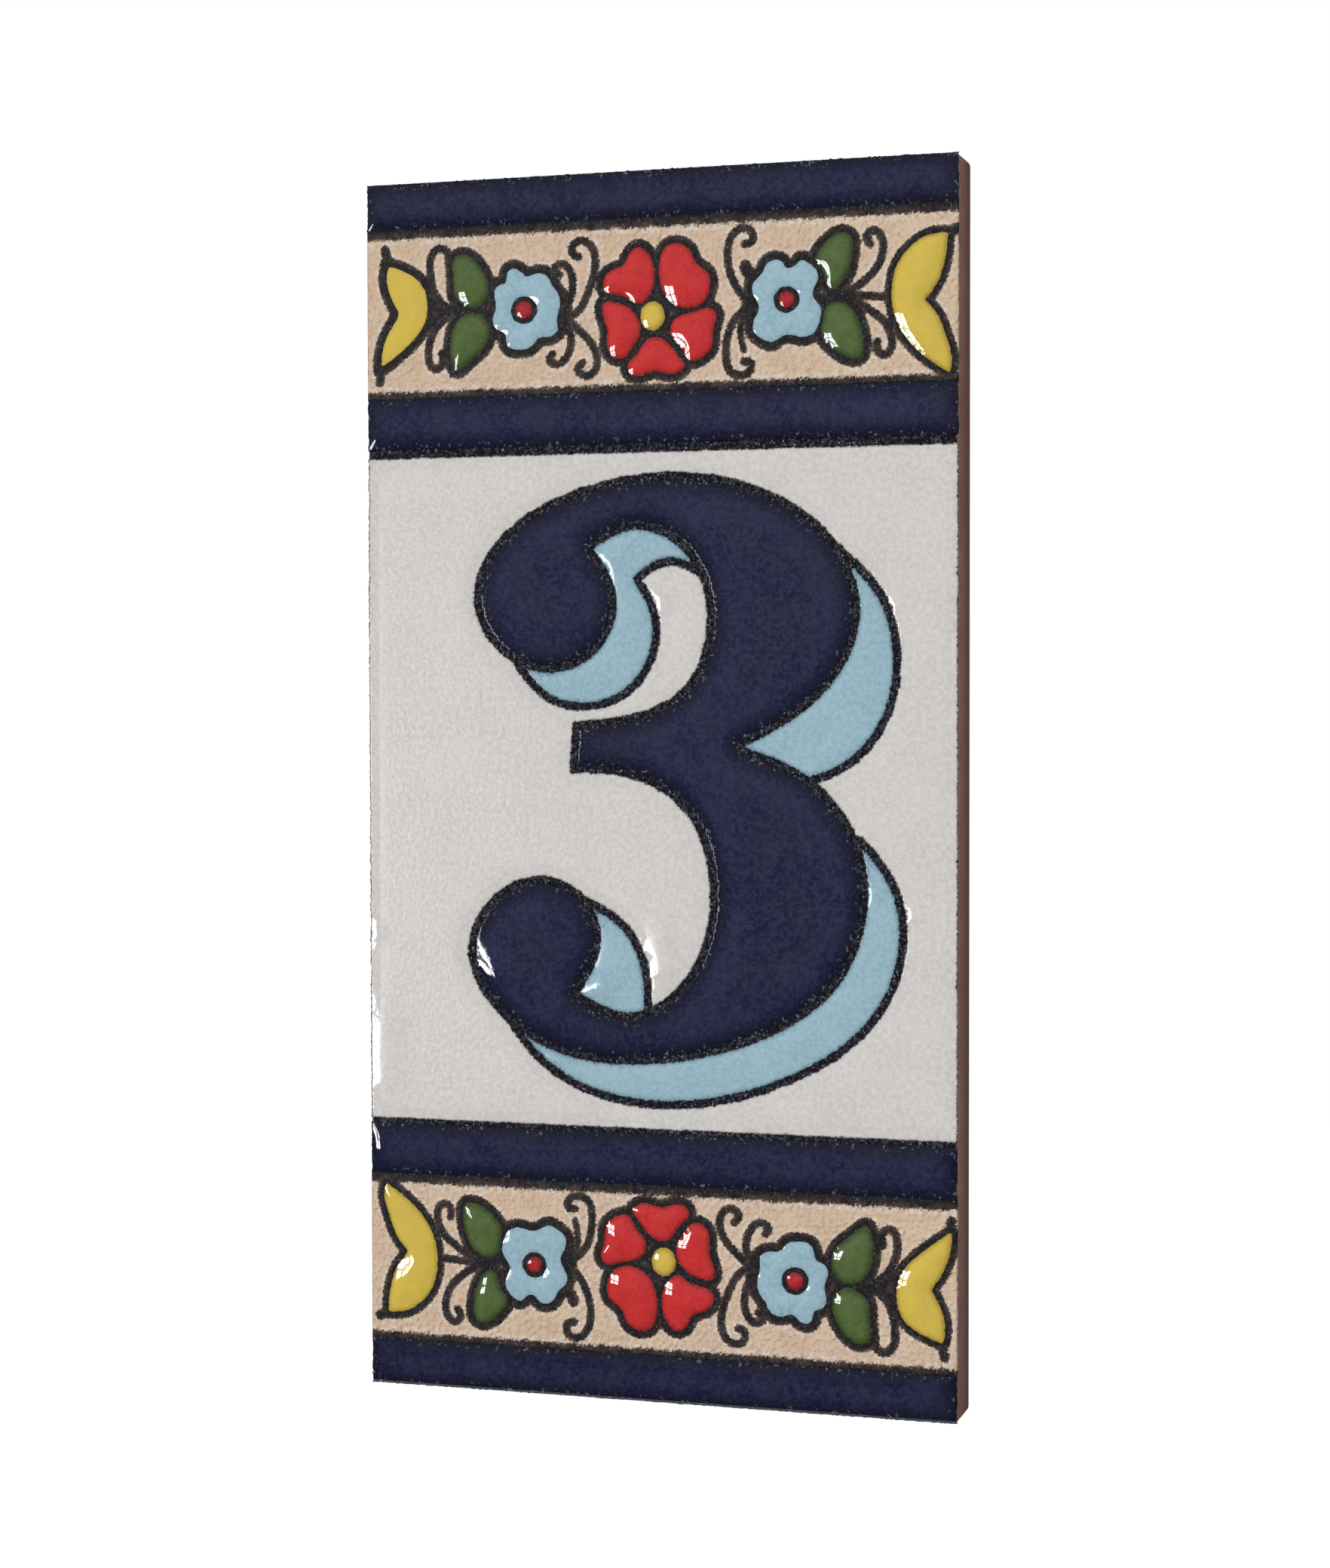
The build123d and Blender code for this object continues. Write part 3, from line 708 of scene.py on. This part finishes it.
groundLook = {"peach": rgb(0.60, 0.44, 0.32), "pale": rgb(0.635, 0.485, 0.362), "paintedHollowShade": rgb(0.43, 0.29, 0.19),
              "halo": rgb(0.68, 0.62, 0.56), "ink": rgb(0.014, 0.010, 0.008),
              "wornInk": rgb(0.085, 0.056, 0.042), "inkShare": 0.6, "wearSize": 1.6, "drawn": (-0.08, 0.1),
              "drawnRagged": 0.8, "wrinkleSize": 0.58, "wrinkle": 0.5, "paintedHollowShadeShare": 0.22, "cloudSize": 3.0,
              "patchSize": 0.6, "haloShare": 0.8}


# matt peach-coloured ground with a wrinkled skin and painted shade in its hollows; grainy dark ink where the
# attribute "ink" is above zero, worn brown near its edges, and a pale halo beside it
def groundMaterial():
    material, base, place = newMaterial("borderGround")
    ink = base.make("ShaderNodeAttribute", {"attribute_name": "ink"}, {}, out="Fac")
    ragged = base.noise(place, dryLine["raggedSize"], 3.0, 0.7) - 0.5
    drawn = (ink + ragged * groundLook["drawnRagged"]).step(*groundLook["drawn"])
    wrinkle = base.noise(place, groundLook["wrinkleSize"], 1.0, 0.4)
    clouds = base.noise(place, groundLook["cloudSize"], 2.0)
    colour = base.mix(clouds.step(0.35, 0.65), groundLook["peach"], groundLook["pale"])
    # painted shade: darker where the wrinkles are low
    colour = base.mix((1 - wrinkle.step(0.3, 0.55)) * groundLook["paintedHollowShadeShare"], colour, groundLook["paintedHollowShade"])
    patchy = base.noise(place, groundLook["patchSize"], 2.0, 0.6).step(0.45, 0.6)
    halo = ink.step(-0.6, -0.2) * (1 - ink.step(-0.1, 0.05)) * patchy
    colour = base.mix(halo * groundLook["haloShare"], colour, groundLook["halo"])
    inked, grain = inkGrain(base, place)
    worn = base.noise(place, groundLook["wearSize"], 2.0).step(0.35, 0.65) * (1 - ink.step(0.15, 0.6))
    tone = base.mix(worn, groundLook["ink"], groundLook["wornInk"])
    colour = base.mix(drawn, colour, base.mix(groundLook["inkShare"], inked, tone))
    height = wrinkle * (1 - drawn) + grain * drawn * 0.5
    closeMaterial(base, {"Base Color": colour, "Roughness": 0.75 - drawn * 0.1, "Specular IOR Level": 0.25,
                         "Normal": base.bump(height, groundLook["wrinkle"])})
    return material


wrinkled = groundMaterial()
pieceFrom("upperGround", [groundMesh(onUpper, True)], wrinkled, ("ink",))
pieceFrom("lowerGround", [groundMesh(onLower, False)], wrinkled, ("ink",))

# clay body

clay = {"corner": 0.8, "bevel": 0.4, "grooves": 6, "pitch": 11.0, "groove": 4.0, "depth": 0.6, "margin": 9.0,
        "wall": 0.08, "linesAcross": 26, "linesAlong": 50, "linesRound": 6}
# rings round the side, front to back: where each lies in depth, and how far it is drawn in
sideRings = [(0.1 - tile["clay"], 0.18), (clay["bevel"] - tile["clay"], 0.0), (-4.0, 0.0), (-2.0, 0.0),
             (-0.25, 0.0)]


# The slab is two faces on one grid of lines, front and back, joined by rings round the side. Lines lie close
# together at the groove walls, and the grid's corners are rounded by moving the outer square of each corner
# onto a circle.
def bodyMesh():
    w, hgt, r = tile["width"] / 2, tile["height"] / 2, clay["corner"]
    middles = (np.arange(clay["grooves"]) - (clay["grooves"] - 1) / 2) * clay["pitch"]
    halfGroove, grooveEnd = clay["groove"] / 2, hgt - clay["margin"]
    wall = np.array([-clay["wall"], 0.0])
    walls = [np.concatenate([m - halfGroove + wall, m + halfGroove - wall[::-1]]) for m in middles]
    bend = np.linspace(0, 1, clay["linesRound"])
    between = np.linspace(-w + r, w - r, clay["linesAcross"])
    x = np.unique(np.round(np.concatenate(walls + [-w + r * bend, w - r * bend, between]), 4))
    ends = grooveEnd + wall
    between = np.linspace(-hgt + r, hgt - r, clay["linesAlong"])
    z = np.unique(np.round(np.concatenate([ends, -ends, -hgt + r * bend, hgt - r * bend, between]), 4))
    gx, gz = np.meshgrid(x, z, indexing="ij")
    inGroove = (np.abs(gx[..., None] - middles) < halfGroove - clay["wall"] / 2).any(2)
    inGroove &= np.abs(gz) < grooveEnd - clay["wall"] / 2
    ux, uz = np.maximum(np.abs(gx) - (w - r), 0) / r, np.maximum(np.abs(gz) - (hgt - r), 0) / r
    long = np.maximum(np.hypot(ux, uz), 1e-9)
    pull = np.where((ux > 0) & (uz > 0), np.maximum(ux, uz) / long, 1.0)
    px = np.sign(gx) * (np.minimum(np.abs(gx), w - r) + ux * r * pull)
    pz = np.sign(gz) * (np.minimum(np.abs(gz), hgt - r) + uz * r * pull)
    nx, nz = gx.shape
    number = np.arange(nx * nz).reshape(nx, nz)
    loop = np.concatenate([number[:, 0], number[-1, 1:], number[-2::-1, -1], number[0, -2:0:-1]])
    shrink = 1 - clay["bevel"] / w, 1 - clay["bevel"] / hgt
    front = np.column_stack([px.ravel() * shrink[0], np.full(nx * nz, -tile["clay"]), pz.ravel() * shrink[1]])
    back = np.column_stack([px.ravel(), np.where(inGroove, -clay["depth"], 0.0).ravel(), pz.ravel()])
    rounds = []
    for y, inset in sideRings:
        rounds.append(np.column_stack([px.ravel()[loop] * (1 - inset / w), np.full(len(loop), y),
                                       pz.ravel()[loop] * (1 - inset / hgt)]))
    n = nx * nz
    m = len(loop)
    rows = [loop] + [2 * n + k * m + np.arange(m) for k in range(len(rounds))] + [loop + n]
    sides = [np.column_stack([a, b, np.roll(b, -1), np.roll(a, -1)]) for a, b in zip(rows, rows[1:])]
    quads = cellsOf(number)
    corners = np.vstack([front, back] + rounds)
    faces = np.vstack([quads, quads[:, ::-1] + n] + sides)
    return corners, faces


clayLook = {"warm": rgb(0.25, 0.15, 0.12), "brown": rgb(0.205, 0.12, 0.096), "deep": rgb(0.15, 0.075, 0.058),
            "paintedHollowShade": rgb(0.11, 0.06, 0.05), "paintedLight": rgb(0.30, 0.18, 0.14), "paintedLightBrown": rgb(0.24, 0.14, 0.108),
            "grainSize": 0.35, "cloudSize": 5.0, "grain": 0.1}


# fired clay, warm brown with grain and painted shade in its pits, darker to the back, and paler on the back's
# lands as painted light, most on the grain's tops; the bare front is grainy ink
def clayMaterial():
    material, base, place = newMaterial("firedClay")
    depth = base.make("ShaderNodeSeparateXYZ", {}, {"Vector": place}, out="Y") * (-1 / mm)
    grain = base.noise(place, clayLook["grainSize"], 4.0, 0.65)
    clouds = base.noise(place, clayLook["cloudSize"], 3.0)
    colour = base.mix(clouds.step(0.35, 0.65), clayLook["warm"], clayLook["brown"])
    colour = base.mix(1 - depth.step(0.3, 5.5), colour, clayLook["deep"])
    # painted shade: darker in the grain's pits
    colour = base.mix((1 - grain.step(0.3, 0.45)) * 0.5, colour, clayLook["paintedHollowShade"])
    # painted light: the back face paler, the more so on the grain's tops
    paintedLit = base.mix(clouds.step(0.3, 0.7), clayLook["paintedLight"], clayLook["paintedLightBrown"])
    colour = base.mix((1 - depth.step(0.02, 0.14)) * (grain.step(0.3, 0.45) * 0.6 + 0.4), colour, paintedLit)
    bare = depth.step(tile["clay"] - 0.12, tile["clay"] - 0.02)
    inked, inkBump = inkGrain(base, place)
    colour = base.mix(bare, colour, inked)
    height = grain * (1 - bare) + inkBump * bare
    closeMaterial(base, {"Base Color": colour, "Roughness": 0.85, "Specular IOR Level": 0.1,
                         "Normal": base.bump(height, clayLook["grain"])})
    return material


body = pieceFrom("clayBody", [bodyMesh()], clayMaterial(), ())
body.data.shade_flat()
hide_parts("number_tile")

# stage, lights and camera

studio = {"floorRadius": 0.26, "floorColour": 0.82, "floorGlow": 0.75, "worldLight": 0.36, "tentRadius": 1.5,
          "tentDim": 0.2, "tentLow": 0.06, "matGlow": 0.04, "matLift": 0.0004, "pinhole": 0.0005,
          "keyPower": 140.0, "keyPlace": (-3.6, -3.6, 0.7), "keySize": (1.8, 1.8),
          "fillPower": 4.8, "fillPlace": (0.6, -0.8, 0.4), "fillSize": (0.8, 0.8)}
floorLevel = -tile["height"] / 2 * mm


# 1 where the camera, gloss or glass looks at it
def seenRays(base):
    path = base.tree.nodes.new("ShaderNodeLightPath")
    kinds = ("Camera", "Glossy", "Transmission")
    camera, gloss, glass = [Wire(base.tree, path.outputs[f"Is {kind} Ray"]) for kind in kinds]
    return camera.larger(gloss).larger(glass)


# pale matt floor that also glows for whatever looks at it
def floorMaterial():
    material, base = newMaterial("paleFloor")[:2]
    closeMaterial(base, {"Base Color": grey(studio["floorColour"]), "Roughness": 0.9,
                         "Specular IOR Level": 0.0, "Emission Strength": studio["floorGlow"],
                         "Emission Color": base.mix(seenRays(base), grey(0), grey(1))})
    return material


# a surface turned about the upright through the tile: radius and height of each ring, then round by the angle
def turned(name, radius, height, material, count=64):
    angle = np.linspace(0, 2 * np.pi, count, endpoint=False)
    n = len(radius)
    corners = np.column_stack([np.outer(radius, np.cos(angle)).ravel(),
                               np.outer(radius, np.sin(angle)).ravel(), np.repeat(height, count)])
    i, j = [a.ravel() for a in np.meshgrid(np.arange(n - 1), np.arange(count), indexing="ij")]
    k = (j + 1) % count
    faces = np.column_stack([i * count + j, i * count + k, (i + 1) * count + k, (i + 1) * count + j])
    mesh = bpy.data.meshes.new(name)
    mesh.from_pydata(corners.tolist(), [], faces.tolist())
    mesh.materials.append(material)
    made = bpy.data.objects.new(name, mesh)
    bpy.context.scene.collection.objects.link(made)
    return made


# a round sheet at one height
def disc(name, height, material, count=8):
    radius = np.linspace(studio["floorRadius"], studio["pinhole"], count)
    return turned(name, radius, np.full(count, height), material)


disc("floor", floorLevel, floorMaterial())

world = bpy.data.worlds.new("studio")
bpy.context.scene.world = world
world.use_nodes = True
world.node_tree.nodes.clear()
air = Wire(world.node_tree)
airLight = air.mix(seenRays(air), grey(studio["worldLight"]), grey(1))
shade = air.make("ShaderNodeBackground", {}, {"Color": airLight})
worldEnd = world.node_tree.nodes.new("ShaderNodeOutputWorld")
world.node_tree.links.new(shade.socket, worldEnd.inputs["Surface"])


# glow that goes from low to high over the height
def tentMaterial(name, high, low):
    material, base, place = newMaterial(name)
    up = base.make("ShaderNodeSeparateXYZ", {}, {"Vector": place}, out="Z")
    closeMaterial(base, {"Base Color": grey(0), "Roughness": 1.0, "Specular IOR Level": 0.0,
                         "Emission Color": base.mix(up.step(-0.4, 0.4), grey(low), grey(high)),
                         "Emission Strength": 1.0})
    return material


# a dim tent round it all and a dim mat over the floor, met only by the gloss, as the unlit side of the room
rise = np.linspace(-np.pi / 2 + 0.001, np.pi / 2 - 0.001, 33)
tent = turned("dimTent", studio["tentRadius"] * np.cos(rise), studio["tentRadius"] * np.sin(rise),
              tentMaterial("dimTent", studio["tentDim"], studio["tentLow"]))
mat = disc("dimMat", floorLevel + studio["matLift"],
           tentMaterial("dimMat", studio["matGlow"], studio["matGlow"]))
for made in (tent, mat):
    for ray in ("camera", "diffuse", "shadow", "transmission", "volume_scatter"):
        setattr(made, "visible_" + ray, False)
print("floor, tent and mat ready")


# area lamp of a given width and height, turned to face a spot
def areaLamp(name, at, towards, size, power):
    lamp = bpy.data.lights.new(name, "AREA")
    lamp.shape = "RECTANGLE"
    lamp.size, lamp.size_y = size
    lamp.energy = power
    made = bpy.data.objects.new(name, lamp)
    way = Vector(towards) - Vector(at)
    made.matrix_world = Matrix.Translation(at) @ way.to_track_quat("-Z", "Y").to_matrix().to_4x4()
    bpy.context.scene.collection.objects.link(made)
    return made


# a tall window at the left, as panes, so that the gloss shows its bars
window = {"middle": Vector((-0.345, -0.30, -0.09)), "target": Vector((0.0, -0.007, -0.09)),
          "columns": 2, "rows": 3, "pane": (0.064, 0.072), "pitch": (0.078, 0.084), "power": 0.3}
ahead = (window["target"] - window["middle"]).normalized()
across = ahead.cross(Vector((0, 0, 1))).normalized()
for c in range(window["columns"]):
    for r in range(window["rows"]):
        shift = across * (c - (window["columns"] - 1) / 2) * window["pitch"][0]
        lift = Vector((0, 0, (r - (window["rows"] - 1) / 2) * window["pitch"][1]))
        at = window["middle"] + shift + lift
        pane = areaLamp(f"pane{c}{r}", at, at + ahead, window["pane"], window["power"])
        pane.visible_diffuse = False

# soft light from the same side for all that is matt, and a broad weak fill from the right, both kept out of
# the gloss
key = areaLamp("key", studio["keyPlace"], (0, 0, 0), studio["keySize"], studio["keyPower"])
fill = areaLamp("fill", studio["fillPlace"], (0, 0, 0), studio["fillSize"], studio["fillPower"])
key.visible_glossy = fill.visible_glossy = False
print("lamps ready")

# camera from the photograph's perspective: 1764 x 2079, focal length 3861 pixels
view = {"place": (0.10590, -0.34384, 0.01123), "right": (0.95516, 0.29608, -0.00175),
        "down": (0.00715, -0.02897, -0.99955), "focal": 3860.9, "width": 1764.0, "sensor": 36.0}
right, down = np.array(view["right"]), np.array(view["down"])
turnedTo = Matrix(np.column_stack([right, -down, -np.cross(right, down)]).tolist())
cameraData = bpy.data.cameras.new("camera")
cameraData.sensor_fit = "HORIZONTAL"
cameraData.sensor_width = view["sensor"]
cameraData.lens = view["focal"] / view["width"] * view["sensor"]
cameraData.clip_start = 0.01
camera = bpy.data.objects.new("camera", cameraData)
camera.matrix_world = Matrix.Translation(view["place"]) @ turnedTo.to_4x4()
bpy.context.scene.collection.objects.link(camera)
bpy.context.scene.camera = camera
bpy.context.scene.view_settings.view_transform = "Standard"

print("scene ready")
